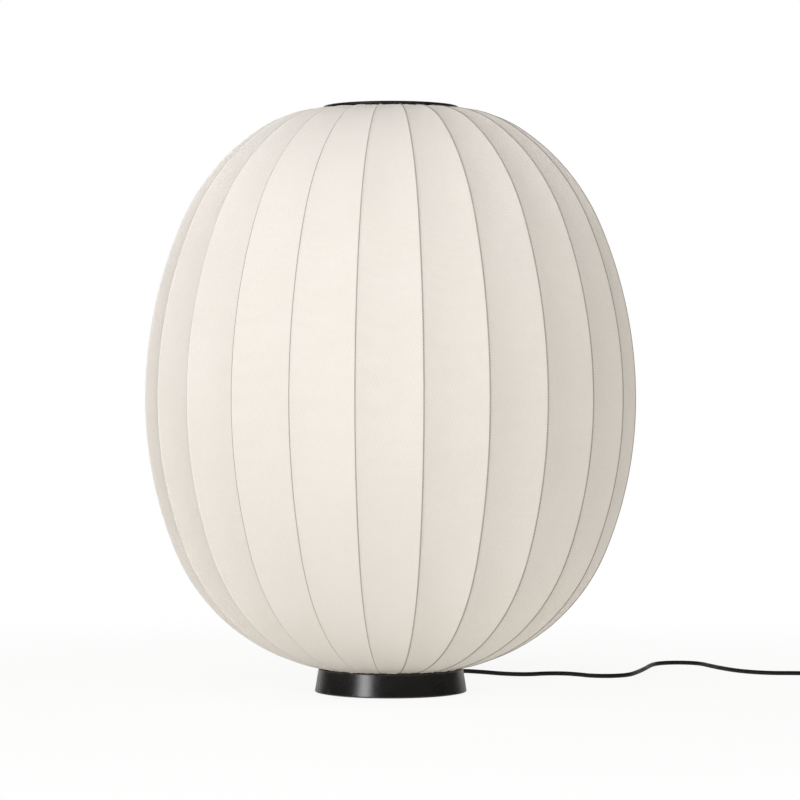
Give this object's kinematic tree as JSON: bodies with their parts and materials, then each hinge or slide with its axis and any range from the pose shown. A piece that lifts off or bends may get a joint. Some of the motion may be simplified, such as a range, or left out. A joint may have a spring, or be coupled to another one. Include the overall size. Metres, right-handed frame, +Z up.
{
  "type": "floor lamp",
  "caption": "Low round floor lamp: a knitted fabric shade stretched over bowed ribs between two rings, on a small black base, with a bulb on a stem inside and a foot switch on the cord.",
  "frame": {"origin": "on the floor under the middle of the base", "axes": "+Z up along the lamp's axis, seen from -Y, the cord leaves the base at the back towards +Y"},
  "size_m": [0.9691, 0.7389, 0.7775],
  "materials": {
    "cover_knit": "fine ribbed knit, matt",
    "rib_rod": "glass fibre, smooth",
    "base_black": "satin black powder coat",
    "ring_black": "satin black",
    "weight_iron": "as cast",
    "plate_steel": "thin black coat",
    "pad_rubber": "foam rubber",
    "zinc_steel": "zinc plated",
    "holder_black": "moulded, satin",
    "core_ceramic": "unglazed white",
    "contact_brass": "bare",
    "bulb_nickel": "nickel plated",
    "bulb_black": "insulating glass",
    "bulb_white": "white, glossy",
    "bulb_opal": "opal, satin",
    "lead_sheath": "insulated wire",
    "terminal_grey": "translucent moulding",
    "cord_black": "flexible sheath",
    "fitting_black": "moulded, satin"
  },
  "bodies": {
    "lamp": {"base_cover": "base_black", "base_weight": "weight_iron", "base_plate": "plate_steel", "base_pad": "pad_rubber", "plate_screws": "zinc_steel", "bottom_ring": "ring_black", "ring_screws": "zinc_steel", "top_ring": "ring_black", "knitted_cover": "cover_knit", "stem_tube": "zinc_steel", "stem_nuts": "zinc_steel", "holder_cap": "holder_black", "holder_core": "core_ceramic", "holder_shell": "holder_black", "screw_shell": "contact_brass", "centre_contact": "contact_brass", "stem_leads": "lead_sheath", "terminal_block": "terminal_grey", "cord_grip": "fitting_black", "cord_gland": "fitting_black", "cord_in_base": "cord_black", "cord_to_switch": "cord_black", "switch_tray": "fitting_black", "switch_cover": "fitting_black", "button_spring": "zinc_steel", "switch_contacts": "contact_brass", "cord_to_coil": "cord_black", "cord_coil": "cord_black", "cord_to_plug": "cord_black", "plug_body": "fitting_black", "plug_pins": "bulb_nickel", "rib_01": "rib_rod", "rib_02": "rib_rod", "rib_03": "rib_rod", "rib_04": "rib_rod", "rib_05": "rib_rod", "rib_06": "rib_rod", "rib_07": "rib_rod", "rib_08": "rib_rod", "rib_09": "rib_rod", "rib_10": "rib_rod", "rib_11": "rib_rod", "rib_12": "rib_rod", "rib_13": "rib_rod", "rib_14": "rib_rod", "rib_15": "rib_rod", "rib_16": "rib_rod", "rib_17": "rib_rod", "rib_18": "rib_rod", "rib_19": "rib_rod", "rib_20": "rib_rod", "rib_21": "rib_rod", "rib_22": "rib_rod", "rib_23": "rib_rod", "rib_24": "rib_rod"},
    "bulb": {"bulb_contact": "bulb_black", "bulb_cap": "bulb_nickel", "bulb_collar": "bulb_white", "bulb_globe": "bulb_opal"},
    "button": {"foot_button": "fitting_black"}
  },
  "joints": [
    {"name": "bulb_lift", "type": "slide", "parent": "lamp", "child": "bulb", "axis": [0, 0, 1], "range_m": [0, 0.023]},
    {"name": "button_press", "type": "slide", "parent": "lamp", "child": "button", "axis": [0, 0, -1], "range_m": [0, 0.003], "stiffness_N_per_m": 600, "springref_m": -0.003, "deforming": ["button_spring"]}
  ]
}
